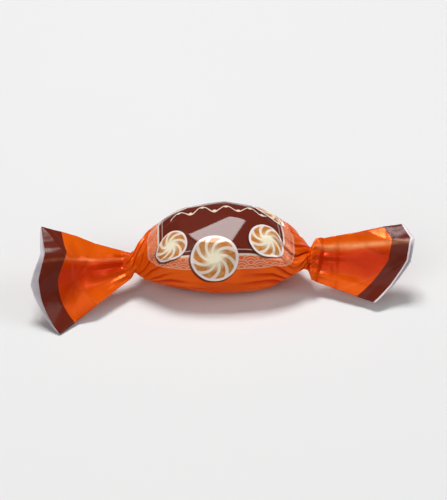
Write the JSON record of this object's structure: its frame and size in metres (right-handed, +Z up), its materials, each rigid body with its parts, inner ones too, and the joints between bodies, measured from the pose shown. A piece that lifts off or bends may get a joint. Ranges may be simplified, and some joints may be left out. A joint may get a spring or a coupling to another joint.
{
  "type": "wrapped caramel candy",
  "caption": "Soft caramel sweet in printed orange film, twisted shut at both ends into flared, pleated fans, lying on its side.",
  "frame": {"origin": "centre of the small flat spot under the body that the sweet rests on", "axes": "+X along the sweet towards its right fan as seen from the front, -Y towards the front, where the print shows, and +Z up"},
  "size_m": [0.0835, 0.029, 0.0176],
  "materials": {
    "printed_film": "glossy printed film"
  },
  "bodies": {
    "root": {"wrapped_sweet": "printed_film"}
  },
  "joints": []
}
